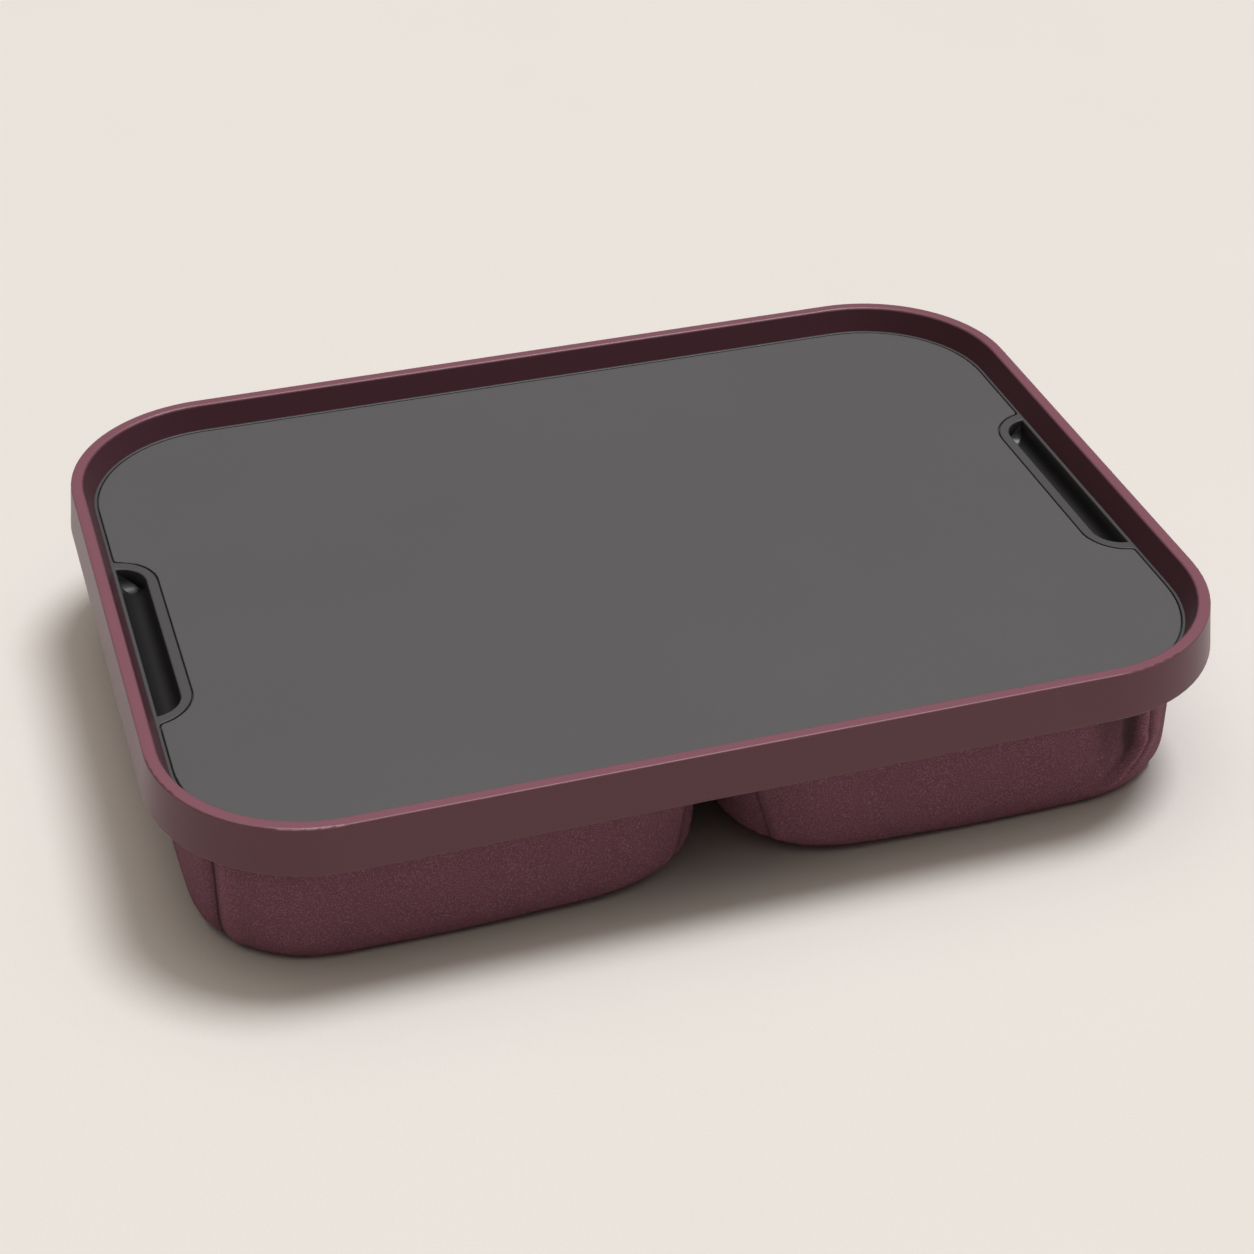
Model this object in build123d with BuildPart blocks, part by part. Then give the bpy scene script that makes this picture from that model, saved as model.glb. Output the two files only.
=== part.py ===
from build123d import *
import math
import os

# A lap tray on two cushions, in millimetres.
# The long side runs along X, the user sits at -Y, and Z is up.
# The origin lies on the floor, under the middle of the tray.

# Tray as a whole
tray_length = 440.0
tray_width = 325.0
tray_corner_radius = 67.0
overall_height = 80.0

# Rim frame: an inverted channel moulded in one piece
rim_height = 20.5
rim_lip_width = 4.9
rim_outer_lean = 2.4
rim_wall = 2.4
rim_foot_wall = 3.0
rim_inner_depth = 10.6
rim_inner_lean = 4.0
rim_outer_round = 0.8
rim_inner_round = 1.4
rim_foot_round = 0.8
rim_boss_wall = 2.1

# Deck: the moulding under the mat, with its ledge and its two finger wells
deck_plate = 2.2
deck_edge_clearance = 0.3
deck_rib_width = 1.6
deck_rib_pitch = 60.0
deck_rib_clearance = 0.3

# Surface mat, flush with the ledge
mat_thickness = 2.0
mat_border_inset = 13.0
mat_gap = 0.6
mat_edge_round = 0.4
mat_notch_corner_radius = 2.2

# Finger wells, one at each short side
well_end_margin = 41.75
well_width = 11.0
well_depth = 9.0
well_wall = 1.5
well_centre_y = -6.0
well_corner_radius = 12.0
well_end_round = 8.0
well_floor_round = 5.3
well_strip = 1.4
well_edge_round = 0.7
ledge_edge_round = 0.4
well_lip_inboard = 5.0
well_lip_end = 6.2
well_lip_corner_radius = 19.0

# Underside panel
panel_thickness = 2.0
panel_gap = 2.0
panel_slot_clearance = 0.4

# Panel screws
screw_shank_radius = 1.4
screw_head_radius = 2.7
screw_head_height = 1.5
screw_length = 14.0
screw_clearance_radius = 1.7
screw_pilot_radius = 1.5
screw_pilot_spare = 1.2
screw_recess_depth = 0.9
screw_recess_width = 0.8
screw_recess_span = 3.0
screw_long_side_shares = (-0.64, -0.22, 0.22, 0.64)
screw_short_side_shares = (-0.5, 0.5)
spacer_radius = 2.7

# Touch fastener strips between the panel and each cushion
strip_thickness = 1.4
strip_width = 25.0
strip_length = 210.0
strip_spacing = 84.0
strip_corner_radius = 3.0

# Cushions: one each side of the middle, fullest at about two thirds of their height
cushion_channel_half_width = 4.0
cushion_end_inset = 11.4
cushion_front_inset = 18.5
cushion_outer_corner_radius = 45.0
cushion_inner_corner_radius = 34.0
cushion_front_crown = 4.0
cushion_end_crown = 2.0
cushion_outer_round = 10.0
cushion_inner_round = 70.0
cushion_front_round = 7.0
cushion_top_draw = 9.0
cushion_rest_cut = 0.5
cover_thickness = 1.8
top_panel_thickness = 1.6
board_thickness = 1.6
filling_clearance = 0.3
end_seam_inset = 9.0
middle_seam_inset = 11.0

# Heights up the cushion's flank as shares of its height, and how far the flank stands in there:
# below as shares of the rounding at the foot, above as shares of the draw at the top
flank_height_shares = (0.02, 0.06, 0.12, 0.20, 0.32, 0.75, 0.86, 0.94, 1.0)
foot_inset_shares = (0.50, 0.27, 0.11, 0.02, 0.0, 0.0, 0.0, 0.0, 0.0)
top_inset_shares = (0.0, 0.0, 0.0, 0.0, 0.0, 0.0, 0.12, 0.42, 1.0)
rest_inset_share = 1.0
below_rest_inset_share = 1.25
corner_limit_share = 0.47

# One overrun serves every cut that runs past a face
cut_overrun = 5.0

# Levels, from the top down
lip_top = overall_height
ledge_top = lip_top - rim_inner_depth
rim_foot = lip_top - rim_height
mat_seat = ledge_top - mat_thickness
deck_under = mat_seat - deck_plate
panel_top = deck_under - panel_gap
panel_under = panel_top - panel_thickness
hook_under = panel_under - strip_thickness
loop_under = hook_under - strip_thickness
cushion_height = loop_under
channel_top = lip_top - rim_wall
well_floor = ledge_top - well_depth

# Distances in from the foot of the tray's outer face; both faces of the rim lean towards its lip
wall_foot_inset = rim_outer_lean + rim_lip_width + rim_inner_lean
channel_foot_inset = wall_foot_inset - rim_wall
inner_lean_per_height = rim_inner_lean / rim_inner_depth
channel_top_inset = channel_foot_inset - inner_lean_per_height * (channel_top - ledge_top)
outer_lean_per_height = rim_outer_lean / rim_height
channel_outer_foot_inset = rim_wall + outer_lean_per_height * (ledge_top - rim_foot)
channel_outer_top_inset = rim_wall + outer_lean_per_height * (channel_top - rim_foot)
deck_edge_inset = rim_foot_wall + deck_edge_clearance
screw_inset = (channel_outer_foot_inset + channel_foot_inset) / 2
boss_radius = screw_pilot_radius + rim_boss_wall

# Finger wells, seen from above on the +X side; they take the middle of the rim's straight side
well_length = tray_width - 2 * (tray_corner_radius + well_end_margin)
well_outer_x = tray_length / 2 - wall_foot_inset - well_strip
well_inner_x = well_outer_x - well_width
well_centre_x = (well_outer_x + well_inner_x) / 2
notch_inner_x = well_inner_x - well_lip_inboard
notch_length = well_length + 2 * well_lip_end

# Cushions, seen from above on the +X side
cushion_inner_x = cushion_channel_half_width
cushion_outer_x = tray_length / 2 - cushion_end_inset
cushion_half_depth = tray_width / 2 - cushion_front_inset
cushion_centre_x = (cushion_inner_x + cushion_outer_x) / 2


def tray_outline(inset):
    """The tray's rounded outline, drawn the given distance inside the foot of its outer face."""
    return RectangleRounded(
        tray_length - 2 * inset,
        tray_width - 2 * inset,
        tray_corner_radius - inset,
    )


def screw_points():
    """Where the screws stand, on a line that runs up the middle of the rim's channel."""
    half_length = tray_length / 2
    half_width = tray_width / 2
    points = []
    for side in (-1, 1):
        for share in screw_long_side_shares:
            points.append((share * half_length, side * (half_width - screw_inset)))
        for share in screw_short_side_shares:
            points.append((side * (half_length - screw_inset), share * half_width))
    return points


def mat_outline(grow):
    """The mat seen from above, larger all round by grow, with a notch for each finger well."""
    border = mat_border_inset - grow
    half_length = tray_length / 2 - border
    notch_x = notch_inner_x + grow
    notch_y = notch_length - 2 * grow
    notch_reach = half_length - notch_x + cut_overrun
    with BuildSketch() as outline:
        tray_outline(border)
        for side in (-1, 1):
            with BuildSketch(mode=Mode.PRIVATE) as notch:
                with Locations((side * (notch_x + notch_reach / 2), well_centre_y)):
                    Rectangle(notch_reach, notch_y)
                inboard = notch.vertices().sort_by(Axis.X, reverse=side < 0)[:2]
                fillet(inboard, radius=well_lip_corner_radius)
            add(notch.sketch, mode=Mode.SUBTRACT)
        corners = [
            corner
            for corner in outline.vertices()
            if abs(abs(corner.X) - half_length) < mat_gap
            and abs(abs(corner.Y - well_centre_y) - notch_y / 2) < mat_notch_corner_radius
        ]
        fillet(corners, radius=mat_notch_corner_radius)
    return outline.sketch


def well_body(grow):
    """A finger well on the +X side as a solid, larger by grow, up to the ledge.
    It is what three extrusions share: the plan, the U across the well and the bow along it.
    The plan runs past the U's outboard wall, so that its corners may be rounder than the well is wide."""
    floor = well_floor - grow
    width = well_width + 2 * grow
    length = well_length + 2 * grow
    height = ledge_top - floor
    with BuildPart() as body:
        with BuildSketch(Plane.XY.offset(floor)) as plan:
            with Locations((well_centre_x + cut_overrun / 2, well_centre_y)):
                Rectangle(width + cut_overrun, length)
            fillet(plan.vertices().sort_by(Axis.X)[:2], radius=well_corner_radius + grow)
        extrude(amount=height)
        with BuildSketch(Plane.XZ.offset(-well_centre_y)) as across:
            with Locations((well_centre_x, floor + height / 2)):
                Rectangle(width, height)
            fillet(across.vertices().sort_by(Axis.Y)[:2], radius=well_floor_round + grow)
        extrude(amount=length, both=True, mode=Mode.INTERSECT)
        with BuildSketch(Plane.YZ.offset(well_centre_x)) as along:
            with Locations((well_centre_y, floor + height / 2)):
                Rectangle(length, height)
            fillet(along.vertices().sort_by(Axis.Y)[:2], radius=well_end_round + grow)
        extrude(amount=width, both=True, mode=Mode.INTERSECT)
    return body.part


os.makedirs("parts", exist_ok=True)

# Rim frame

with BuildPart() as channel:
    with BuildSketch(Plane.XY.offset(ledge_top)):
        tray_outline(channel_outer_foot_inset)
    with BuildSketch(Plane.XY.offset(channel_top)):
        tray_outline(channel_outer_top_inset)
    loft()
    with BuildSketch(Plane.XY.offset(ledge_top)):
        tray_outline(channel_foot_inset)
    with BuildSketch(Plane.XY.offset(channel_top)):
        tray_outline(channel_top_inset)
    loft(mode=Mode.SUBTRACT)
    with Locations(Plane.XY.offset((ledge_top + channel_top) / 2)):
        with Locations(*screw_points()):
            Cylinder(boss_radius, channel_top - ledge_top, mode=Mode.SUBTRACT)

with BuildPart() as rim_frame:
    with BuildSketch(Plane.XY.offset(rim_foot)):
        tray_outline(0)
    with BuildSketch(Plane.XY.offset(lip_top)):
        tray_outline(rim_outer_lean)
    loft()
    outer_top = rim_frame.edges().group_by(Axis.Z)[-1]
    fillet(outer_top, radius=min(rim_outer_round, 0.95 * rim_wall))
    with BuildSketch(Plane.XY.offset(rim_foot)):
        tray_outline(rim_foot_wall)
    extrude(amount=ledge_top - rim_foot, mode=Mode.SUBTRACT)
    with BuildSketch(Plane.XY.offset(ledge_top)):
        tray_outline(wall_foot_inset)
    with BuildSketch(Plane.XY.offset(lip_top)):
        tray_outline(rim_outer_lean + rim_lip_width)
    loft(mode=Mode.SUBTRACT)
    add(channel.part, mode=Mode.SUBTRACT)
    pilot_depth = screw_length + panel_under - ledge_top + screw_pilot_spare
    with Locations(Plane.XY.offset(ledge_top + pilot_depth / 2)):
        with Locations(*screw_points()):
            Cylinder(screw_pilot_radius, pilot_depth, mode=Mode.SUBTRACT)
    inner_top = rim_frame.faces().group_by(Axis.Z)[-1].face().inner_wires()[0].edges()
    fillet(inner_top, radius=rim_inner_round)
    foot = rim_frame.faces().group_by(Axis.Z)[0].face().outer_wire().edges()
    fillet(foot, radius=min(rim_foot_round, 0.45 * rim_wall))
rim_frame.part.label = "rim_frame"

# Tray deck with ledge, ribs, spacers and finger wells

with BuildPart() as tray_deck:
    with BuildSketch(Plane.XY.offset(deck_under)):
        tray_outline(deck_edge_inset)
    extrude(amount=ledge_top - deck_under)
    with BuildSketch(Plane.XY.offset(mat_seat)):
        add(mat_outline(mat_gap))
    extrude(amount=mat_thickness, mode=Mode.SUBTRACT)
    rib_height = panel_gap - deck_rib_clearance
    rib_field_length = tray_length - 2 * mat_border_inset - 2 * (well_width + well_lip_inboard)
    rib_field_width = tray_width - 4 * mat_border_inset
    with BuildSketch(Plane.XY.offset(deck_under - rib_height)):
        across_count = 2 * math.floor(rib_field_width / 2 / deck_rib_pitch) + 1
        along_count = 2 * math.floor(rib_field_length / 2 / deck_rib_pitch) + 1
        with GridLocations(deck_rib_pitch, deck_rib_pitch, 1, across_count):
            Rectangle(rib_field_length, deck_rib_width)
        with GridLocations(deck_rib_pitch, deck_rib_pitch, along_count, 1):
            Rectangle(deck_rib_width, rib_field_width)
    extrude(amount=rib_height)
    with BuildSketch(Plane.XY.offset(panel_top)):
        with Locations(*screw_points()):
            Circle(spacer_radius)
    extrude(amount=panel_gap)
    add(well_body(well_wall))
    mirror(well_body(well_wall), about=Plane.YZ)
    add(well_body(0), mode=Mode.SUBTRACT)
    mirror(well_body(0), about=Plane.YZ, mode=Mode.SUBTRACT)
    for opening in tray_deck.faces().sort_by(Axis.Z)[-1].inner_wires():
        is_well = opening.bounding_box().size.X < 2 * well_width
        fillet(opening.edges(), radius=well_edge_round if is_well else ledge_edge_round)
    with BuildSketch(Plane.XY.offset(panel_top)):
        with Locations(*screw_points()):
            Circle(screw_clearance_radius)
    extrude(amount=ledge_top - panel_top, mode=Mode.SUBTRACT)
tray_deck.part.label = "tray_deck"

# Surface mat

with BuildPart() as surface_mat:
    with BuildSketch(Plane.XY.offset(mat_seat)):
        add(mat_outline(0))
    extrude(amount=mat_thickness)
    fillet(surface_mat.faces().sort_by(Axis.Z)[-1].edges(), radius=mat_edge_round)
surface_mat.part.label = "surface_mat"

# Underside panel, slotted where the wells come through

with BuildPart() as underside_panel:
    with BuildSketch(Plane.XY.offset(panel_under)):
        tray_outline(deck_edge_inset)
    extrude(amount=panel_thickness)
    slot_grow = well_wall + panel_slot_clearance
    add(well_body(slot_grow), mode=Mode.SUBTRACT)
    mirror(well_body(slot_grow), about=Plane.YZ, mode=Mode.SUBTRACT)
    with BuildSketch(Plane.XY.offset(panel_under)):
        with Locations(*screw_points()):
            Circle(screw_clearance_radius)
    extrude(amount=panel_thickness, mode=Mode.SUBTRACT)
underside_panel.part.label = "underside_panel"

# Panel screws: pan heads below the panel, shanks up into the rim's bosses

with BuildPart() as panel_screws:
    head_under = panel_under - screw_head_height
    with BuildSketch(Plane.XY.offset(head_under)):
        with Locations(*screw_points()):
            Circle(screw_head_radius)
    extrude(amount=screw_head_height)
    head_rims = panel_screws.edges().group_by(Axis.Z)[0]
    fillet(head_rims, radius=0.4 * screw_head_height)
    with BuildSketch(Plane.XY.offset(panel_under)):
        with Locations(*screw_points()):
            Circle(screw_shank_radius)
    extrude(amount=screw_length)
    with BuildSketch(Plane.XY.offset(head_under)):
        with Locations(*screw_points()):
            Rectangle(screw_recess_span, screw_recess_width)
            Rectangle(screw_recess_width, screw_recess_span)
    extrude(amount=screw_recess_depth, mode=Mode.SUBTRACT)
panel_screws.part.label = "panel_screws"

# Touch fastener strips: hooks on the panel, loops on the cushions


def fastener_strips(side, level):
    """Two strips side by side over one cushion, their lower face at the given level."""
    with BuildPart() as strips:
        with BuildSketch(Plane.XY.offset(level)):
            with Locations((side * cushion_centre_x, 0)):
                with GridLocations(strip_spacing, 0, 2, 1):
                    RectangleRounded(strip_width, strip_length, strip_corner_radius)
        extrude(amount=strip_thickness)
    return strips.part


# Cushions


def cushion_section(level, inner_inset, outer_inset, front_inset, skin):
    """One level of the +X cushion: four crowned sides joined by round corners, skin further in."""
    inner = cushion_inner_x + inner_inset + skin + cushion_end_crown
    outer = cushion_outer_x - outer_inset - skin - cushion_end_crown
    half_y = cushion_half_depth - front_inset - skin - cushion_front_crown
    middle = (inner + outer) / 2
    with BuildSketch(Plane.XY.offset(level)) as section:
        with BuildLine():
            ThreePointArc(
                (inner, -half_y), (middle, -half_y - cushion_front_crown), (outer, -half_y)
            )
            ThreePointArc((outer, -half_y), (outer + cushion_end_crown, 0), (outer, half_y))
            ThreePointArc(
                (outer, half_y), (middle, half_y + cushion_front_crown), (inner, half_y)
            )
            ThreePointArc((inner, half_y), (inner - cushion_end_crown, 0), (inner, -half_y))
        make_face()
        corner_limit = corner_limit_share * min(outer - inner, 2 * half_y)
        inner_radius = min(cushion_inner_corner_radius - skin, corner_limit)
        outer_radius = min(cushion_outer_corner_radius - skin, corner_limit)
        fillet(section.vertices().sort_by(Axis.X)[:2], radius=inner_radius)
        fillet(section.vertices().sort_by(Axis.X)[-2:], radius=outer_radius)
    return section.sketch


def cushion_body(skin, low, high):
    """The +X cushion as a solid, skin inside its outer face, between two levels."""
    rest = (rest_inset_share, 0.0, 0.0)
    flank = zip(foot_inset_shares, top_inset_shares, flank_height_shares)
    sections = [
        cushion_section(
            low - cushion_rest_cut,
            below_rest_inset_share * cushion_inner_round,
            below_rest_inset_share * cushion_outer_round,
            below_rest_inset_share * cushion_front_round,
            skin,
        )
    ]
    for foot_share, top_share, height_share in (rest, *flank):
        top_inset = top_share * cushion_top_draw
        sections.append(
            cushion_section(
                low + height_share * (high - low),
                foot_share * cushion_inner_round + top_inset,
                foot_share * cushion_outer_round + top_inset,
                foot_share * cushion_front_round + top_inset,
                skin,
            )
        )
    with BuildPart() as body:
        loft(sections)
        split(bisect_by=Plane.XY.offset(low), keep=Keep.TOP)
    return body.part


top_panel_under = cushion_height - top_panel_thickness
board_under = top_panel_under - board_thickness
end_seam_x = cushion_outer_x - end_seam_inset
middle_seam_x = cushion_inner_x + middle_seam_inset

with BuildPart() as cover:
    add(cushion_body(0, 0, cushion_height))
    split(bisect_by=Plane.XY.offset(top_panel_under), keep=Keep.BOTTOM)
    add(cushion_body(cover_thickness, cover_thickness, top_panel_under), mode=Mode.SUBTRACT)

with BuildPart() as main_panel:
    add(cover.part)
    split(bisect_by=Plane.YZ.offset(end_seam_x), keep=Keep.BOTTOM)
    split(bisect_by=Plane.YZ.offset(middle_seam_x), keep=Keep.TOP)

with BuildPart() as outer_end_panel:
    add(cover.part)
    split(bisect_by=Plane.YZ.offset(end_seam_x), keep=Keep.TOP)

with BuildPart() as inner_end_panel:
    add(cover.part)
    split(bisect_by=Plane.YZ.offset(middle_seam_x), keep=Keep.BOTTOM)

with BuildPart() as top_panel:
    add(cushion_body(0, 0, cushion_height))
    split(bisect_by=Plane.XY.offset(top_panel_under), keep=Keep.TOP)

inside_skin = cover_thickness + filling_clearance

with BuildPart() as backing_board:
    add(cushion_body(inside_skin, inside_skin, top_panel_under))
    split(bisect_by=Plane.XY.offset(board_under), keep=Keep.TOP)

with BuildPart() as filling:
    add(cushion_body(inside_skin, inside_skin, top_panel_under))
    split(bisect_by=Plane.XY.offset(board_under), keep=Keep.BOTTOM)

cushion_pieces = {
    "cushion_main_panel": main_panel.part,
    "cushion_outer_end_panel": outer_end_panel.part,
    "cushion_inner_end_panel": inner_end_panel.part,
    "cushion_top_panel": top_panel.part,
    "cushion_backing_board": backing_board.part,
    "cushion_filling": filling.part,
}

pieces = [
    rim_frame.part,
    tray_deck.part,
    surface_mat.part,
    underside_panel.part,
    panel_screws.part,
]

for side, side_name in ((-1, "left"), (1, "right")):
    for name, shape in cushion_pieces.items():
        with BuildPart() as piece:
            if side > 0:
                add(shape)
            else:
                mirror(shape, about=Plane.YZ)
        piece.part.label = f"{side_name}_{name}"
        pieces.append(piece.part)
    for name, level in (("hook_strips", hook_under), ("loop_strips", loop_under)):
        strips = fastener_strips(side, level)
        strips.label = f"{side_name}_{name}"
        pieces.append(strips)

for piece in pieces:
    export_step(piece, f"parts/{piece.label}.step")
    print(piece.label, len(piece.solids()), "solids", round(piece.volume), "mm3")
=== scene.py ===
# %% [markdown]
# # A lap tray on two cushions
# The object is a shallow plum tray with a charcoal mat, carried by two plum fabric cushions.
# The hard pieces (rim, deck, mat, panel, screws, boards and fastener strips) come finished in
# shape from the frame, so this lesson gives them materials. The two cushions come as plain solids:
# they are rebuilt here as inflated fabric, with seams and gathers.

# %% Load the frame
import math

import bpy
import numpy as np
from mathutils import Matrix, Vector


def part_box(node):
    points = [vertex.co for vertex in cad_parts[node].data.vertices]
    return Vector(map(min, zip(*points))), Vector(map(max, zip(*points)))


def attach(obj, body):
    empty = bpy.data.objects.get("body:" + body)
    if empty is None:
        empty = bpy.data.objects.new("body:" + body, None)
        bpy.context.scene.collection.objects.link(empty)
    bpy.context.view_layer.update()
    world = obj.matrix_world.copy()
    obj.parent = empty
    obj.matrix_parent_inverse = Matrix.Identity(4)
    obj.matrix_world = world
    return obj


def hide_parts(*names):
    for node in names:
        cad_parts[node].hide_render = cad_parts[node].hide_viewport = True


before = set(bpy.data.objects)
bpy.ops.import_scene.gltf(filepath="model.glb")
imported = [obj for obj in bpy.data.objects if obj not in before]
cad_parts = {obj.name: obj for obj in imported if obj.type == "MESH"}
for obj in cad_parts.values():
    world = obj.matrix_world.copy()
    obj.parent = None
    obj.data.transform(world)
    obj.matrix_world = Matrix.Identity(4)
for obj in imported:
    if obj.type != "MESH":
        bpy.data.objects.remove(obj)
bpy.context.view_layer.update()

# %% [markdown]
# ## Camera
# The camera stands where the photograph was taken from. A perspective matrix is built from a
# heading, a downward pitch and a slight roll, because that says the view in words: 17.7 degrees
# round to the left, 34.7 degrees down. A long lens keeps the far side almost as large as the near one.

# %% Place the camera
camera_place = (-0.28198, -0.89340, 0.67849)
heading, pitch, roll = map(math.radians, (17.6528, 34.7495, 0.1188))

forward = np.array((
    math.sin(heading) * math.cos(pitch),
    math.cos(heading) * math.cos(pitch),
    -math.sin(pitch),
))
level_right = np.array((math.cos(heading), -math.sin(heading), 0.0))
level_up = np.cross(level_right, forward)
right = math.cos(roll) * level_right + math.sin(roll) * level_up
up = math.cos(roll) * level_up - math.sin(roll) * level_right

camera_data = bpy.data.cameras.new("photo_camera")
camera_data.sensor_width = 36.0
camera_data.lens = 75.59
camera = bpy.data.objects.new("photo_camera", camera_data)
bpy.context.scene.collection.objects.link(camera)
turn = Matrix((right, up, -forward)).transposed().to_4x4()
camera.matrix_world = Matrix.Translation(camera_place) @ turn
bpy.context.scene.camera = camera
print("camera at", [round(v, 3) for v in camera_place], "lens", camera_data.lens, "mm")

# %% [markdown]
# ## Shared effects
# Every finish here is mostly one colour, so its life comes from small changes: cloudy tone,
# moulded grain, and fibre flecks in the cloth. Each effect is a node group made once, whose
# outputs are only masks and heights. The materials place them with their own scales.

# %% Helpers for node groups and materials
def group_with(name, inputs, outputs):
    """An empty shader group with named float or vector sockets, and its input and output nodes."""
    group = bpy.data.node_groups.new(name, "ShaderNodeTree")
    for label, kind, value in inputs:
        socket = group.interface.new_socket(name=label, in_out="INPUT", socket_type=kind)
        if value is not None:
            socket.default_value = value
    for label, kind in outputs:
        group.interface.new_socket(name=label, in_out="OUTPUT", socket_type=kind)
    return group, group.nodes.new("NodeGroupInput"), group.nodes.new("NodeGroupOutput")


def node(tree, kind, **settings):
    """A node of one kind: plain settings go to it, and a dictionary called inputs to its sockets."""
    made = tree.nodes.new(kind)
    inputs = settings.pop("inputs", {})
    for key, value in settings.items():
        setattr(made, key, value)
    for key, value in inputs.items():
        made.inputs[key].default_value = value
    return made


def placed_group(tree, group, **values):
    """A group placed in a material, with its inputs set by name."""
    made = node(tree, "ShaderNodeGroup", node_tree=group)
    for key, value in values.items():
        made.inputs[key.replace("_", " ").capitalize()].default_value = value
    return made


# %% Cloudy tone
tone_group, tone_in, tone_out = group_with(
    "cloudy_tone",
    [("Vector", "NodeSocketVector", None), ("Scale", "NodeSocketFloat", 8.0)],
    [("Mask", "NodeSocketFloat")],
)
cloud = node(tone_group, "ShaderNodeTexNoise", inputs={"Detail": 3.0, "Roughness": 0.6})
tone_group.links.new(tone_in.outputs["Vector"], cloud.inputs["Vector"])
tone_group.links.new(tone_in.outputs["Scale"], cloud.inputs["Scale"])
tone_group.links.new(cloud.outputs["Fac"], tone_out.inputs["Mask"])

# %% Moulded grain
grain_group, grain_in, grain_out = group_with(
    "moulded_grain",
    [("Vector", "NodeSocketVector", None), ("Scale", "NodeSocketFloat", 900.0)],
    [("Height", "NodeSocketFloat")],
)
pebble = node(grain_group, "ShaderNodeTexVoronoi", feature="SMOOTH_F1", inputs={"Smoothness": 0.6})
fine = node(grain_group, "ShaderNodeTexNoise", inputs={"Detail": 2.0})
both = node(grain_group, "ShaderNodeMath", operation="ADD")
for texture in (pebble, fine):
    grain_group.links.new(grain_in.outputs["Vector"], texture.inputs["Vector"])
    grain_group.links.new(grain_in.outputs["Scale"], texture.inputs["Scale"])
grain_group.links.new(pebble.outputs["Distance"], both.inputs[0])
grain_group.links.new(fine.outputs["Fac"], both.inputs[1])
grain_group.links.new(both.outputs["Value"], grain_out.inputs["Height"])

# %% Fibre flecks
fleck_group, fleck_in, fleck_out = group_with(
    "fibre_flecks",
    [("Vector", "NodeSocketVector", None), ("Scale", "NodeSocketFloat", 700.0)],
    [("Mask", "NodeSocketFloat"), ("Height", "NodeSocketFloat")],
)
thread = node(fleck_group, "ShaderNodeTexNoise", inputs={"Detail": 4.0, "Roughness": 0.7})
lift = node(fleck_group, "ShaderNodeMapRange", inputs={"From Min": 0.5, "From Max": 0.85, "To Max": 0.8})
fleck_group.links.new(fleck_in.outputs["Vector"], thread.inputs["Vector"])
fleck_group.links.new(fleck_in.outputs["Scale"], thread.inputs["Scale"])
fleck_group.links.new(thread.outputs["Fac"], lift.inputs["Value"])
fleck_group.links.new(lift.outputs["Result"], fleck_out.inputs["Mask"])
fleck_group.links.new(thread.outputs["Fac"], fleck_out.inputs["Height"])
print("groups:", [g.name for g in bpy.data.node_groups])


# %% The recipe for moulded finishes
def linear(red, green, blue):
    """A colour given in the screen's 0 to 255 steps, as the linear numbers a shader wants."""
    screen = np.array((red, green, blue)) / 255.0
    curve = np.where(screen <= 0.04045, screen / 12.92, ((screen + 0.055) / 1.055) ** 2.4)
    return (*curve.tolist(), 1.0)


def moulded(name, dark, light, rough, tone_scale, grain_scale, grain_depth, specular=0.5):
    """A moulded finish: the cloudy tone mixes two near colours and moves the roughness a little."""
    material = bpy.data.materials.new(name)
    material.use_nodes = True
    tree = material.node_tree
    shader = tree.nodes["Principled BSDF"]
    shader.inputs["Specular IOR Level"].default_value = specular
    place = node(tree, "ShaderNodeTexCoord")
    tone = placed_group(tree, tone_group, scale=tone_scale)
    grain = placed_group(tree, grain_group, scale=grain_scale)
    colour = node(tree, "ShaderNodeMix", data_type="RGBA")
    colour.inputs["A"].default_value = dark
    colour.inputs["B"].default_value = light
    span = node(tree, "ShaderNodeMapRange", inputs={"To Min": rough - 0.04, "To Max": rough + 0.04})
    bump = node(tree, "ShaderNodeBump", inputs={"Strength": 0.5, "Distance": grain_depth})
    tree.links.new(place.outputs["Object"], tone.inputs["Vector"])
    tree.links.new(place.outputs["Object"], grain.inputs["Vector"])
    tree.links.new(tone.outputs["Mask"], colour.inputs["Factor"])
    tree.links.new(colour.outputs["Result"], shader.inputs["Base Color"])
    tree.links.new(tone.outputs["Mask"], span.inputs["Value"])
    tree.links.new(span.outputs["Result"], shader.inputs["Roughness"])
    tree.links.new(grain.outputs["Height"], bump.inputs["Height"])
    tree.links.new(bump.outputs["Normal"], shader.inputs["Normal"])
    return material


def dress(node_name, material):
    """Gives one node of the frame its finish."""
    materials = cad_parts[node_name].data.materials
    materials.clear()
    materials.append(material)

# %% [markdown]
# ## Floor and light
# The photograph has a pale, warm, seamless ground, lit evenly, and a short soft shadow that leans
# to the left. So the main light is a broad one high above, a little to the right: a lamp of the sun
# kind, whose light is as bright far away as near, so the ground stays even out to the horizon. It
# is 20 degrees wide, which gives the shadow its soft edge. The rest of the room is a world whose
# brightness grows with the sixth power of the height in the sky, like a pale ceiling over dark
# walls: it fills the shadow on the floor and leaves upright walls and hollows dark.
# Together they light a level surface so that its colour renders about as written.

# %% Make the floor
def level_plate(name, half_size, height):
    """A square plate at one height: its corners are plus and minus half the size in X and Y."""
    mesh = bpy.data.meshes.new(name)
    corners = [(sx * half_size, sy * half_size, height) for sx, sy in ((-1, -1), (1, -1), (1, 1), (-1, 1))]
    mesh.from_pydata(corners, [], [(0, 1, 2, 3)])
    plate = bpy.data.objects.new(name, mesh)
    bpy.context.scene.collection.objects.link(plate)
    return plate


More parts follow.
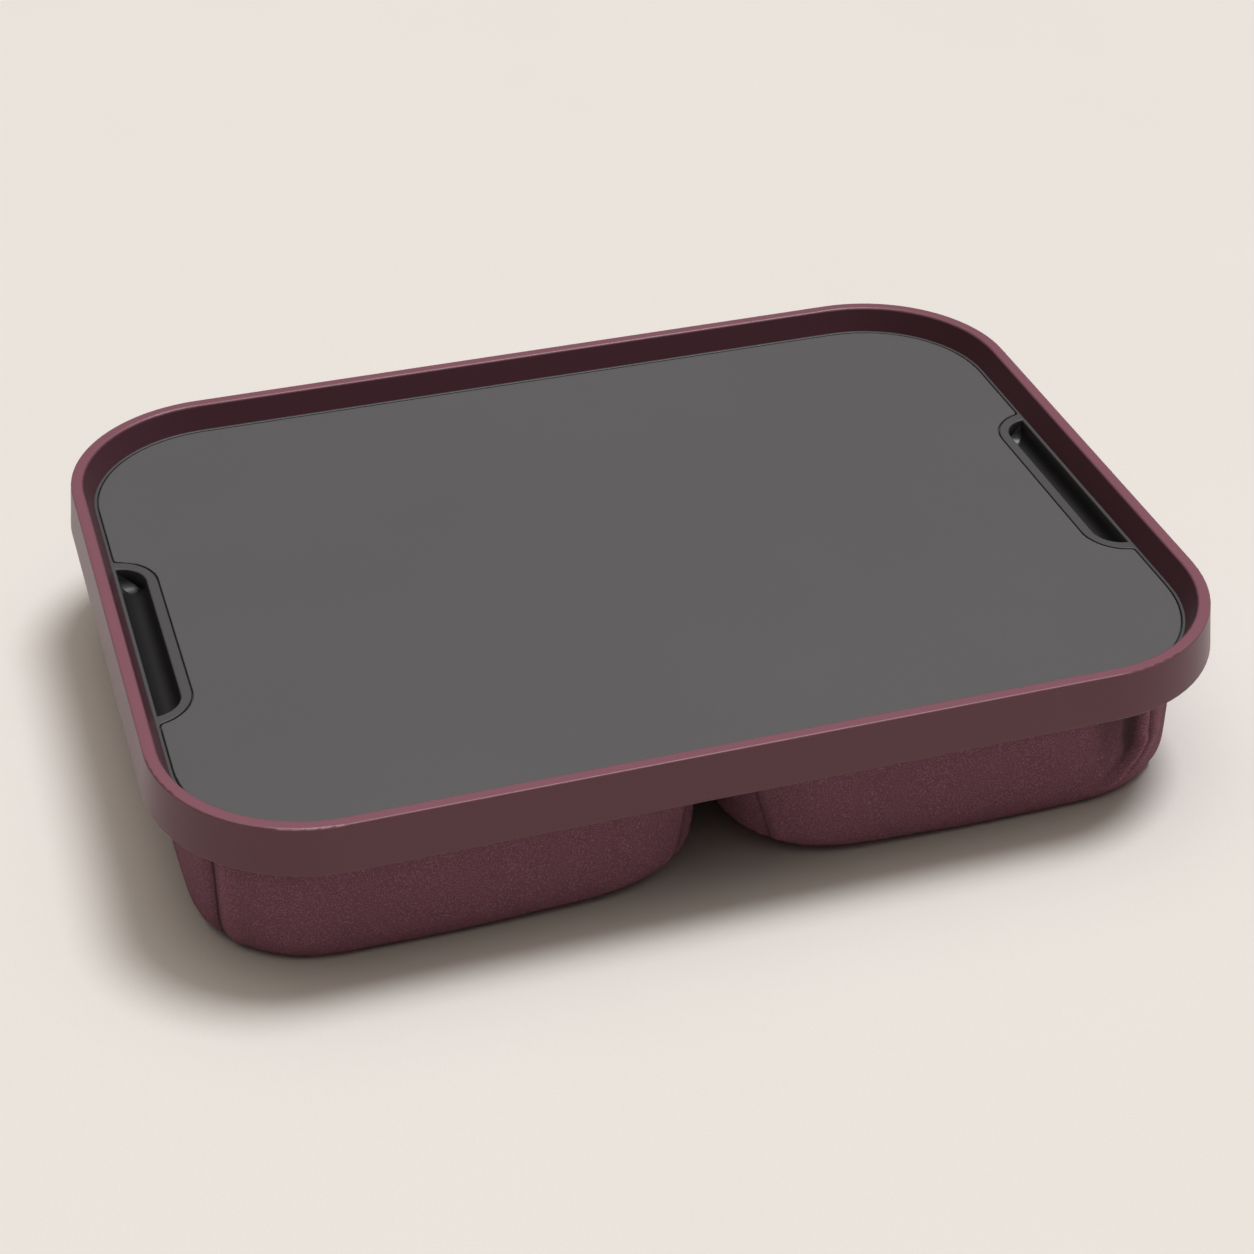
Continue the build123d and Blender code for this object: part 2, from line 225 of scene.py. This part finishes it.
floor_size = 60.0
floor = level_plate("floor", floor_size / 2, 0.0)
warm_paper = moulded(
    "warm_paper", linear(234, 228, 220), linear(238, 232, 226),
    rough=0.85, tone_scale=5.0, grain_scale=700.0, grain_depth=0.0001, specular=0.15,
)
floor.data.materials.append(warm_paper)
print("floor", floor_size, "m across")


# %% Hang the lamp
def broad_lamp(name, direction, width, strength, colour):
    """A sun lamp that shines from one direction, as wide as the given angle in degrees."""
    data = bpy.data.lights.new(name, "SUN")
    data.angle = math.radians(width)
    data.energy = strength
    data.color = colour
    lamp = bpy.data.objects.new(name, data)
    bpy.context.scene.collection.objects.link(lamp)
    away = Vector(direction).normalized()
    turn = away.to_track_quat("Z", "Y").to_matrix().to_4x4()
    lamp.matrix_world = Matrix.Translation(away) @ turn


broad_lamp("key_lamp", direction=(0.30, 0.06, 1.0), width=20.0, strength=1.90, colour=(0.95, 0.975, 1.04))

# %% Light the world
ceiling_colour = (1.0, 0.94, 0.85, 1.0)
ceiling_power, ceiling_light, wall_light = 6.0, 1.66, 0.03
backdrop_colour = linear(236, 230, 222)
world = bpy.data.worlds.new("studio")
bpy.context.scene.world = world
world.use_nodes = True
sky = world.node_tree
room = sky.nodes["Background"]
room.inputs["Color"].default_value = ceiling_colour
direction = node(sky, "ShaderNodeTexCoord")
split = node(sky, "ShaderNodeSeparateXYZ")
height = node(sky, "ShaderNodeMath", operation="ABSOLUTE")
zenith = node(sky, "ShaderNodeMath", operation="POWER", inputs={1: ceiling_power})
bright = node(sky, "ShaderNodeMath", operation="MULTIPLY_ADD", inputs={1: ceiling_light, 2: wall_light})
seen = node(sky, "ShaderNodeBackground", inputs={"Color": backdrop_colour, "Strength": 1.0})
ray = node(sky, "ShaderNodeLightPath")
choice = node(sky, "ShaderNodeMixShader")
sky.links.new(direction.outputs["Generated"], split.inputs["Vector"])
sky.links.new(split.outputs["Z"], height.inputs[0])
sky.links.new(height.outputs["Value"], zenith.inputs[0])
sky.links.new(zenith.outputs["Value"], bright.inputs[0])
sky.links.new(bright.outputs["Value"], room.inputs["Strength"])
sky.links.new(ray.outputs["Is Camera Ray"], choice.inputs["Fac"])
sky.links.new(room.outputs["Background"], choice.inputs[1])
sky.links.new(seen.outputs["Background"], choice.inputs[2])
sky.links.new(choice.outputs["Shader"], sky.nodes["World Output"].inputs["Surface"])
bpy.context.scene.view_settings.view_transform = "Standard"

# %% [markdown]
# ## Moulded plastics, mat and steel
# The rim is satin plum plastic with a fine spark-eroded grain. The deck is charcoal in the same
# way, a little smoother, and the mat is matte with a coarser pebble. One recipe serves all three:
# cloudy tone changes the colour and the roughness by a few percent, and the grain goes into a bump.
# Two additions follow the photograph, where hollows and upright walls are darker than even light
# alone would make them, and paint that shade into the colour: painted shade with a glossier finish below a
# level, and painted shade on upright faces.

# %% Painted shade and a glossier finish in hollows
def painted_shade_and_gloss_below(material, level, fade, dark, rough):
    """Below a level, the colour darkens as painted shade and the finish turns glossier, over the height of
    the fade.
    """
    tree = material.node_tree
    shader = tree.nodes["Principled BSDF"]
    place = node(tree, "ShaderNodeTexCoord")
    split = node(tree, "ShaderNodeSeparateXYZ")
    depth = node(tree, "ShaderNodeMapRange", inputs={"From Min": level, "From Max": level - fade})
    tree.links.new(place.outputs["Object"], split.inputs["Vector"])
    tree.links.new(split.outputs["Z"], depth.inputs["Value"])
    for label, kind, value, ends in (
        ("Base Color", "RGBA", dark, ("A", "B", "Result")),
        ("Roughness", "FLOAT", rough, (2, 3, 0)),
    ):
        mix = node(tree, "ShaderNodeMix", data_type=kind)
        mix.inputs[ends[1]].default_value = value
        tree.links.new(shader.inputs[label].links[0].from_socket, mix.inputs[ends[0]])
        tree.links.new(depth.outputs["Result"], mix.inputs["Factor"])
        tree.links.new(mix.outputs[ends[2]], shader.inputs[label])


# %% Painted shade on upright walls
def painted_wall_shade(material, outward, inward):
    """Painted shade: the colour, and with it the specular level, times a share where the surface stands
    upright:
    one share for walls that face away from the middle of the tray and one for walls that face it."""
    tree = material.node_tree
    shader = tree.nodes["Principled BSDF"]
    place = node(tree, "ShaderNodeTexCoord")
    split = node(tree, "ShaderNodeSeparateXYZ")
    centred = node(tree, "ShaderNodeVectorMath", operation="NORMALIZE")
    facing = node(tree, "ShaderNodeVectorMath", operation="DOT_PRODUCT")
    share = node(tree, "ShaderNodeMapRange", inputs={
        "From Min": -0.3, "From Max": 0.3, "To Min": inward, "To Max": outward,
    })
    level = node(tree, "ShaderNodeMapRange", inputs={"From Min": 0.4, "From Max": 0.9})
    gain = node(tree, "ShaderNodeMix", data_type="FLOAT", inputs={3: 1.0})
    shaded = node(tree, "ShaderNodeVectorMath", operation="SCALE")
    shine = node(tree, "ShaderNodeMath", operation="MULTIPLY")
    shine.inputs[1].default_value = shader.inputs["Specular IOR Level"].default_value
    tree.links.new(place.outputs["Object"], centred.inputs[0])
    tree.links.new(centred.outputs["Vector"], facing.inputs[0])
    tree.links.new(place.outputs["Normal"], facing.inputs[1])
    tree.links.new(facing.outputs["Value"], share.inputs["Value"])
    tree.links.new(place.outputs["Normal"], split.inputs["Vector"])
    tree.links.new(split.outputs["Z"], level.inputs["Value"])
    tree.links.new(level.outputs["Result"], gain.inputs["Factor"])
    tree.links.new(share.outputs["Result"], gain.inputs[2])
    tree.links.new(shader.inputs["Base Color"].links[0].from_socket, shaded.inputs["Vector"])
    tree.links.new(gain.outputs[0], shaded.inputs["Scale"])
    tree.links.new(shaded.outputs["Vector"], shader.inputs["Base Color"])
    tree.links.new(gain.outputs[0], shine.inputs[0])
    tree.links.new(shine.outputs["Value"], shader.inputs["Specular IOR Level"])


# %% Finishes of the hard pieces
plum_plastic = moulded(
    "plum_plastic", linear(132, 86, 97), linear(138, 90, 102),
    rough=0.34, tone_scale=9.0, grain_scale=1400.0, grain_depth=0.00005, specular=0.34,
)
# painted shade: the rim's upright walls turn darker, those facing the middle of the tray most
painted_wall_shade(plum_plastic, outward=0.62, inward=0.42)
charcoal_plastic = moulded(
    "charcoal_plastic", linear(79, 78, 79), linear(85, 84, 85),
    rough=0.42, tone_scale=12.0, grain_scale=1400.0, grain_depth=0.00005, specular=0.4,
)
charcoal_mat = moulded(
    "charcoal_mat", linear(90, 88, 89), linear(96, 94, 95),
    rough=0.62, tone_scale=6.0, grain_scale=1100.0, grain_depth=0.0001, specular=0.3,
)
panel_plastic = moulded(
    "panel_plastic", linear(50, 49, 50), linear(55, 54, 55),
    rough=0.5, tone_scale=12.0, grain_scale=1200.0, grain_depth=0.00006,
)
plated_steel = moulded(
    "plated_steel", linear(150, 150, 152), linear(168, 168, 170),
    rough=0.34, tone_scale=40.0, grain_scale=2500.0, grain_depth=0.00002,
)
plated_steel.node_tree.nodes["Principled BSDF"].inputs["Metallic"].default_value = 1.0
ledge_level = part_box("tray_deck")[1][2]
# painted shade: the deck's wells turn darker below the ledge, and glossier
well_start, well_fade = 0.0015, 0.0035  # below the ledge: the mat's seat stays nearly plain
painted_shade_and_gloss_below(charcoal_plastic, ledge_level - well_start, well_fade, linear(38, 37, 38), 0.32)
dress("rim_frame", plum_plastic)
dress("tray_deck", charcoal_plastic)
dress("surface_mat", charcoal_mat)
dress("underside_panel", panel_plastic)
dress("panel_screws", plated_steel)
print("hard pieces dressed")

# %% [markdown]
# ## The cushions' form
# Each cushion is a soft box: nearly straight sides with a slight crown, round corners seen from
# above, a tight rounding at the foot in front and outside, and a long gentle lift towards the
# channel in the middle. It could be modelled by hand on a cage, but a stack of rounded outlines,
# each drawn in by a curve of its height, gives the same form from a handful of sizes.

# %% Sizes of a cushion, in metres
cushion_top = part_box("right_loop_strips")[0][2]
half_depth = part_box("right_cushion_main_panel")[1][1]
outer_low, outer_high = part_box("right_cushion_outer_end_panel")
inner_low, inner_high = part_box("right_cushion_inner_end_panel")
channel_side, outer_side = inner_low[0], outer_high[0]
outer_seam, inner_seam = outer_low[0], inner_high[0]
corner_round = {"inner": 0.034, "outer": 0.045}  # seen from above
foot_round = {"inner": 0.070, "outer": 0.010, "front": 0.007}  # how far each side draws in at the floor
top_draw = 0.009  # how far all sides draw in at the top
crown = {"front": 0.004, "end": 0.002}  # how far each side bulges in its middle
fullness = 0.0012  # what the remesh and the pull at the edges take off again
sink = 0.0008  # how far the form starts below the floor, which flattens it later
height_shares = (0.0, 0.02, 0.06, 0.12, 0.20, 0.32, 0.75, 0.86, 0.94, 1.0)  # where the next two rows hold
foot_shares = (1.0, 0.50, 0.27, 0.11, 0.02, 0.0, 0.0, 0.0, 0.0, 0.0)
draw_shares = (0.0, 0.0, 0.0, 0.0, 0.0, 0.0, 0.0, 0.12, 0.42, 1.0)
foot_part, foot_outlines, wall_outlines = 0.3, 26, 24  # the foot curves most, so it gets more outlines
print("cushion", [round(float(v), 4) for v in (channel_side, outer_side, half_depth, cushion_top)])


# %% A stack of rounded outlines
def eased_table(x, places, values):
    """A cubic through each pair of a table's points, level wherever the table turns or rests."""
    places, values = np.array(places), np.array(values)
    steps = np.diff(places)
    rises = np.diff(values) / steps
    slopes = np.zeros_like(values)
    same_way = rises[:-1] * rises[1:] > 0.0
    slopes[1:-1][same_way] = (2.0 * rises[:-1] * rises[1:] / (rises[:-1] + rises[1:] + 1e-12))[same_way]
    slopes[0], slopes[-1] = rises[0], rises[-1]
    i = np.clip(np.searchsorted(places, x, side="right") - 1, 0, len(steps) - 1)
    t = (x - places[i]) / steps[i]
    ends = (2 * t**3 - 3 * t**2 + 1) * values[i] + (3 * t**2 - 2 * t**3) * values[i + 1]
    bends = (t**3 - 2 * t**2 + t) * slopes[i] + (t**3 - t**2) * slopes[i + 1]
    return ends + steps[i] * bends


def rounded_outlines(x_low, x_high, y_half, per_corner=16, per_side=40):
    """Rounded rectangles, one per row: four quarter circles of the corner radius, joined by
    straight sides, then each side pushed out by its crown, times one minus the square of the place
    along it, times the cube of the place across it, both from 0 in the middle to 1 at the edge."""
    x_low, x_high, y_half = x_low[:, None], x_high[:, None], y_half[:, None]
    middle, x_half = (x_low + x_high) / 2, (x_high - x_low) / 2
    quarter = np.linspace(0.0, np.pi / 2, per_corner)[None, :]
    corners = []
    for turn, (sx, sy) in enumerate(((1, 1), (-1, 1), (-1, -1), (1, -1))):
        corner = corner_round["outer" if sx > 0 else "inner"]
        angle = quarter + turn * np.pi / 2
        x = middle + sx * (x_half - corner) + corner * np.cos(angle)
        y = sy * (y_half - corner) + corner * np.sin(angle)
        corners.append(np.stack((x, y), -1))
    rows = []
    blend = np.linspace(0.0, 1.0, per_side + 2)[None, 1:-1, None]
    for here, after in zip(corners, corners[1:] + corners[:1]):
        rows += [here, here[:, -1:] * (1 - blend) + after[:, :1] * blend]
    outline = np.concatenate(rows, 1)
    across = (outline[..., 0] - middle) / x_half
    along = outline[..., 1] / y_half
    outline[..., 1] += crown["front"] * np.sign(along) * np.abs(along) ** 3 * (1 - across**2)
    outline[..., 0] += crown["end"] * np.sign(across) * np.abs(across) ** 3 * (1 - along**2)
    return outline


def cushion_form(name, side):
    """The cushion as a closed mesh: outlines stacked from just below the floor to the strips, each
    drawn in by the foot's and the top's curves of its height, and closed by two flat faces."""
    low, high = np.linspace(0.0, foot_part, foot_outlines), np.linspace(foot_part, 1.0, wall_outlines)
    share = np.concatenate((low, high[1:]))
    foot = eased_table(share, height_shares, foot_shares)
    draw = eased_table(share, height_shares, draw_shares) * top_draw - fullness
    outline = rounded_outlines(
        channel_side + foot * foot_round["inner"] + draw + crown["end"],
        outer_side - foot * foot_round["outer"] - draw - crown["end"],
        half_depth - foot * foot_round["front"] - draw - crown["front"],
    )
    levels, points = outline.shape[:2]
    height = np.broadcast_to((share * (cushion_top + sink) - sink)[:, None, None], (levels, points, 1))
    grid = np.concatenate((outline, height), -1) * (side, 1.0, 1.0)
    here = np.arange(levels * points).reshape(levels, points)
    after = np.roll(here, -1, 1)
    quads = np.stack((here[:-1], after[:-1], after[1:], here[1:]), -1).reshape(-1, 4)
    faces = quads[:, ::side].tolist() + [here[0][::-side].tolist(), here[-1][::side].tolist()]
    mesh = bpy.data.meshes.new(name)
    mesh.from_pydata(grid.reshape(-1, 3), [], faces)
    cushion = bpy.data.objects.new(name, mesh)
    bpy.context.scene.collection.objects.link(cushion)
    print(name, "form:", levels, "outlines of", points, "points")
    return cushion


# %% [markdown]
# ## Inflating the cloth
# Stuffed fabric isn't a hard-edged solid: it is taut, swells between its edges and draws its
# corners in. The form is remeshed to even squares, and the cloth solver blows it up from inside
# while its top, held by the strips, stays where it is. The cloth is cut three percent too small,
# because slack cloth would crumple where the photograph shows smooth faces. Each point may move about
# a millimetre at most, so that the cushion keeps its outline. The floor flattens what would reach it.

# %% Points of a mesh as an array
def points_of(mesh):
    """All vertex places of a mesh, one row each."""
    flat = np.empty(len(mesh.vertices) * 3)
    mesh.vertices.foreach_get("co", flat)
    return flat.reshape(-1, 3)


def set_points(mesh, points):
    """Puts an array of places back into the mesh."""
    mesh.vertices.foreach_set("co", np.ascontiguousarray(points).ravel())
    mesh.update()


def normals_of(mesh):
    """All vertex normals of a mesh, one row each."""
    flat = np.empty(len(mesh.vertices) * 3)
    mesh.vertex_normals.foreach_get("vector", flat)
    return flat.reshape(-1, 3)


def apply_modifiers(piece):
    """Replaces the piece's mesh by the one that its modifiers make."""
    graph = bpy.context.evaluated_depsgraph_get()
    finished = bpy.data.meshes.new_from_object(piece.evaluated_get(graph))
    piece.modifiers.clear()
    piece.data = finished


# %% Inflate a form
held_band = 0.002  # points this close to the strips are held


def inflate(piece, voxel, most_move, frames=20):
    """Remeshes the piece, blows it up as cloth, and caps each point's move."""
    remesh = piece.modifiers.new("even_squares", "REMESH")
    remesh.mode, remesh.voxel_size, remesh.use_smooth_shade = "VOXEL", voxel, True
    apply_modifiers(piece)
    before = points_of(piece.data)
    held = piece.vertex_groups.new(name="held")
    held.add(np.flatnonzero(before[:, 2] > cushion_top - held_band).tolist(), 1.0, "REPLACE")
    cloth = piece.modifiers.new("cloth", "CLOTH")
    cloth.settings.quality = 5
    cloth.settings.mass = 0.2
    cloth.settings.tension_stiffness = cloth.settings.compression_stiffness = 15.0
    cloth.settings.shear_stiffness = 7.5
    cloth.settings.bending_stiffness = 1.0
    cloth.settings.shrink_min = 0.03
    cloth.settings.use_pressure = True
    cloth.settings.uniform_pressure_force = 6.0
    cloth.settings.vertex_group_mass = "held"
    cloth.settings.effector_weights.gravity = 0.0
    cloth.collision_settings.use_collision = False
    cloth.point_cache.frame_start, cloth.point_cache.frame_end = 1, frames
    for step in range(1, frames + 1):
        bpy.context.scene.frame_set(step)
    apply_modifiers(piece)
    bpy.context.scene.frame_set(1)
    moved = points_of(piece.data) - before
    length = np.linalg.norm(moved, axis=1, keepdims=True)
    moved *= np.minimum(1.0, most_move / np.maximum(length, 1e-9))
    set_points(piece.data, before + moved)
    average, most = (round(float(v) * 1000, 2) for v in (length.mean(), length.max()))
    print(piece.name, "swelled by", average, "mm on average and", most, "mm at most, before the cap")
    finer = piece.modifiers.new("finer", "SUBSURF")
    finer.levels = finer.render_levels = 2
    apply_modifiers(piece)
    print(piece.name, "has", len(piece.data.vertices), "points")


# %% [markdown]
# ## Seams and gathers
# A seam pulls the fabric into a narrow valley, and the wider panel stands a little proud beside
# it. Each cushion has one near each end. At the right cushion's front corner the photograph also
# shows a gather: a thin ridge runs down from the rim and bends towards the middle, with a deep soft
# valley on one side and a narrow one on the other. All of it is pressed into the points along the
# normals, after the cloth is still. The push is kept as an attribute, so that the cloth's colour carries
# painted light on the ridges and painted shade in the valleys, stronger than the small relief alone would
# show.
# The top is one plain panel on a stiff board, so seams and gathers end where the cloth turns level.

# %% Seams: place, lean and curl in their formula, side on which the main panel lies, strength
cushion_seams = {
    "outer": (outer_seam, 0.0, 0.004, -1.0, 1.0),
    "inner": (inner_seam, 0.25, 0.0, 1.0, 0.5),
}
seam_strengths = np.array([strength for *_, strength in cushion_seams.values()])
lean_height = 0.030  # height at which a leaning seam is at its place
curl_height = 0.016  # height below which a seam curls

# Push, place and half width of the valley along a seam, the shoulder beside it, and the puckers
valley_push, valley_width = -0.0008, 0.0015
shoulder_push, shoulder_place, shoulder_width = 0.0005, 0.0035, 0.0026
pucker_push, pucker_place, pucker_width = 0.00012, -0.003, 0.003
pucker_length = 0.0085


def seam_distances(points, side):
    """The signed distance from each seam, one row per seam, positive on the main panel's side. The
    seam's x is its place plus lean times the depth below one height, minus curl times a square that
    grows from nothing at another height to one at the floor."""
    x, z = points[:, 0] * side, points[:, 2]
    low = np.clip((curl_height - z) / curl_height, 0.0, 1.0)
    rows = [
        (x - place - lean * (lean_height - z) + curl * low**2) * inward
        for place, lean, curl, inward, _ in cushion_seams.values()
    ]
    return np.stack(rows)


def bell(distance, place, width):
    """A bell curve: e to the power of minus the square of the distance from its place over its width."""
    return np.exp(-(((distance - place) / width) ** 2))


def seam_push(points, away):
    """For each seam, its strength times a sum of bells of the distance from it: a valley on it, a
    wider shoulder beside it on the main panel's side, and on the other side a bell times a wave of
    the way along the seam, whose phase and height wander by two slower sines."""
    run = points[:, 1] + points[:, 2]
    ripple = np.sin(run * 2 * np.pi / pucker_length + 1.7 * np.sin(run * 41.0))
    wave = ripple * (0.6 + 0.4 * np.sin(run * 97.0))
    push = valley_push * bell(away, 0.0, valley_width)
    push = push + shoulder_push * bell(away, shoulder_place, shoulder_width)
    push += pucker_push * wave * bell(away, pucker_place, pucker_width)
    return seam_strengths @ push


# %% Gathers
def gather_push(points, side, gathers):
    """For each gather, rise times a bell curve of the distance from a line whose x is a table's
    value at the point's height; it swells smoothly over a height above the line's lower end."""
    x, y, z = points.T
    push = np.zeros(len(points))
    for front, heights, places, rise, width, swell in gathers:
        away = x * side - eased_table(z, heights, places)
        grow = np.clip((z - heights[0]) / swell, 0.0, 1.0)
        push += rise * grow * grow * (3 - 2 * grow) * (np.sign(y) == front) * bell(away, 0.0, width)
    return push


# %% Press seams and gathers in
level_from, level_over = 0.9, 0.4  # seams end where the normal's z is this, and fade over this much


def press(piece, side, gathers):
    """Moves each point along its normal by the seams' push, which fades out where the normal turns
    up, plus the gathers' push times one minus the square of the normal's z, then clips it between
    floor and strips. The push, the signed distance from the nearest seam, both in millimetres, and
    that seam's strength are kept as attributes."""
    points, normals = points_of(piece.data), normals_of(piece.data)
    away = seam_distances(points, side)
    nearest = np.abs(away).argmin(0)
    distance = away[nearest, np.arange(len(nearest))]
    below_top = np.clip((level_from - normals[:, 2]) / level_over, 0.0, 1.0)
    strength = seam_strengths[nearest] * below_top
    upright = 1.0 - normals[:, 2] ** 2
    push = below_top * seam_push(points, away) + upright * gather_push(points, side, gathers)
    points += normals * push[:, None]
    points[:, 2] = np.clip(points[:, 2], 0.0, cushion_top)
    set_points(piece.data, points)
    # the pushed height is kept for painted light and shade in the cloth's colour
    kept = {"relief_light_and_shade": push * 1000.0, "seam_distance": distance * 1000.0, "seam_strength": strength}
    for label, values in kept.items():
        piece.data.attributes.new(label, "FLOAT", "POINT").data.foreach_set("value", values)


# %% Where the gathers run: front or back, heights, x there, rise, half width, height of its swelling
gather_top = 0.0584
ridge_heights = (0.0060, 0.0106, 0.0155, 0.0210, 0.0265, 0.0330, gather_top)
ridge_places = np.array((0.1630, 0.1684, 0.1737, 0.1788, 0.1814, 0.1806, 0.1800))
right_gathers = [
    (-1, ridge_heights, ridge_places, 0.0016, 0.0013, 0.006),
    (-1, ridge_heights, ridge_places + 0.0034, -0.0013, 0.0017, 0.010),
    (-1, ridge_heights, ridge_places - 0.0075, -0.0028, 0.0046, 0.030),
    (-1, ridge_heights, ridge_places - 0.0190, -0.0010, 0.0060, 0.040),
    (-1, ridge_heights, ridge_places + 0.0080, 0.0008, 0.0030, 0.020),
]
back_gathers = [
    (1, (0.015, 0.035, gather_top), (0.1780, 0.1800, 0.1780), -0.0016, 0.0030, 0.030),
    (1, (0.022, 0.040, gather_top), (0.1690, 0.1700, 0.1690), -0.0010, 0.0030, 0.030),
]

# %% Make both cushions
cushions = {}
for side, side_name in ((-1, "left"), (1, "right")):
    cushion = cushion_form(f"{side_name}_cushion_cover", side)
    inflate(cushion, voxel=0.0055, most_move=0.0012)
    press(cushion, side, back_gathers + (right_gathers if side > 0 else []))
    cushion.data.polygons.foreach_set("use_smooth", np.ones(len(cushion.data.polygons), dtype=bool))
    cushions[side_name] = cushion

# %% [markdown]
# ## Cushion cloth
# The cover is a short-piled plum cloth: matte, with lighter fibre ends that show as fine flecks,
# a soft sheen at grazing angles, and a dark line of painted shade where two panels meet in a seam's
# narrow groove. Ridges and valleys carry painted light and shade. The line is drawn where the kept
# distance from the seam is small, so it can be thinner than the mesh's squares.

# %% Cloth finish
def cloth_finish(name, dark, light, fleck_colour, seamed=False, relief_light_and_shade=0.0):
    """Cloudy tone between two colours, lighter flecks over it, painted light and shade as a brightness of
    one plus the relief gain times the pushed height, but no less than 0.3, and dark lines of painted shade
    under 0.7 mm from a seam, as dark as the seam is strong."""
    material = bpy.data.materials.new(name)
    material.use_nodes = True
    tree = material.node_tree
    shader = tree.nodes["Principled BSDF"]
    shader.inputs["Roughness"].default_value = 0.92
    shader.inputs["Specular IOR Level"].default_value = 0.15
    shader.inputs["Sheen Weight"].default_value = 0.12
    shader.inputs["Sheen Roughness"].default_value = 0.5
    shader.inputs["Sheen Tint"].default_value = fleck_colour
    place = node(tree, "ShaderNodeTexCoord")
    tone = placed_group(tree, tone_group, scale=14.0)
    fleck = placed_group(tree, fleck_group, scale=1700.0)
    base = node(tree, "ShaderNodeMix", data_type="RGBA")
    base.inputs["A"].default_value = dark
    base.inputs["B"].default_value = light
    flecked = node(tree, "ShaderNodeMix", data_type="RGBA")
    flecked.inputs["B"].default_value = fleck_colour
    bump = node(tree, "ShaderNodeBump", inputs={"Strength": 0.6, "Distance": 0.0003})
    for group in (tone, fleck):
        tree.links.new(place.outputs["Object"], group.inputs["Vector"])
    tree.links.new(tone.outputs["Mask"], base.inputs["Factor"])
    tree.links.new(base.outputs["Result"], flecked.inputs["A"])
    tree.links.new(fleck.outputs["Mask"], flecked.inputs["Factor"])
    tree.links.new(fleck.outputs["Height"], bump.inputs["Height"])
    tree.links.new(bump.outputs["Normal"], shader.inputs["Normal"])
    colour = flecked.outputs["Result"]
    # painted light and shade: the colour is lighter on ridges and darker in valleys, by the pushed height
    if relief_light_and_shade:
        pushed = node(tree, "ShaderNodeAttribute", attribute_name="relief_light_and_shade")
        gain = node(tree, "ShaderNodeMath", operation="MULTIPLY_ADD", inputs={1: relief_light_and_shade, 2: 1.0})
        floor_gain = node(tree, "ShaderNodeMath", operation="MAXIMUM", inputs={1: 0.3})
        lit = node(tree, "ShaderNodeVectorMath", operation="SCALE")
        tree.links.new(pushed.outputs["Fac"], gain.inputs[0])
        tree.links.new(gain.outputs["Value"], floor_gain.inputs[0])
        tree.links.new(colour, lit.inputs["Vector"])
        tree.links.new(floor_gain.outputs["Value"], lit.inputs["Scale"])
        colour = lit.outputs["Vector"]
    # painted shade: a dark line along each seam's narrow groove, as dark as the seam is strong
    if seamed:
        away = node(tree, "ShaderNodeAttribute", attribute_name="seam_distance")
        strength = node(tree, "ShaderNodeAttribute", attribute_name="seam_strength")
        amount = node(tree, "ShaderNodeMath", operation="MULTIPLY")
        size = node(tree, "ShaderNodeMath", operation="ABSOLUTE")
        line = node(tree, "ShaderNodeMapRange", inputs={"From Min": 0.7, "From Max": 0.15, "To Max": 0.75})
        painted_seam_shade = node(tree, "ShaderNodeMix", data_type="RGBA")
        painted_seam_shade.inputs["B"].default_value = tuple(0.15 * v for v in dark[:3]) + (1.0,)
        tree.links.new(away.outputs["Fac"], size.inputs[0])
        tree.links.new(size.outputs["Value"], line.inputs["Value"])
        tree.links.new(line.outputs["Result"], amount.inputs[0])
        tree.links.new(strength.outputs["Fac"], amount.inputs[1])
        tree.links.new(amount.outputs["Value"], painted_seam_shade.inputs["Factor"])
        tree.links.new(colour, painted_seam_shade.inputs["A"])
        colour = painted_seam_shade.outputs["Result"]
    tree.links.new(colour, shader.inputs["Base Color"])
    return material


# the cushion cloth carries painted shade along its seams and painted light and shade on its relief
cushion_cloth = cloth_finish(
    "cushion_cloth", linear(118, 74, 87), linear(128, 82, 96), linear(205, 165, 180),
    seamed=True, relief_light_and_shade=0.38,
)
fastener_cloth = cloth_finish(
    "fastener_cloth", linear(30, 29, 31), linear(36, 35, 37), linear(80, 78, 80),
)
grey_board = moulded(
    "grey_board", linear(150, 128, 100), linear(160, 138, 110),
    rough=0.9, tone_scale=30.0, grain_scale=500.0, grain_depth=0.0002, specular=0.2,
)

# %% Put the cushions in place
cover_parts = ("main_panel", "outer_end_panel", "inner_end_panel", "top_panel", "filling")
for side_name, cushion in cushions.items():
    cushion.data.materials.clear()
    cushion.data.materials.append(cushion_cloth)
    covers = [f"{side_name}_cushion_{part}" for part in cover_parts]
    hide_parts(*covers)
    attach(cushion, f"{side_name}_cushion")
    dress(f"{side_name}_cushion_backing_board", grey_board)
    dress(f"{side_name}_hook_strips", fastener_cloth)
    dress(f"{side_name}_loop_strips", fastener_cloth)
print("cushions placed:", list(cushions))
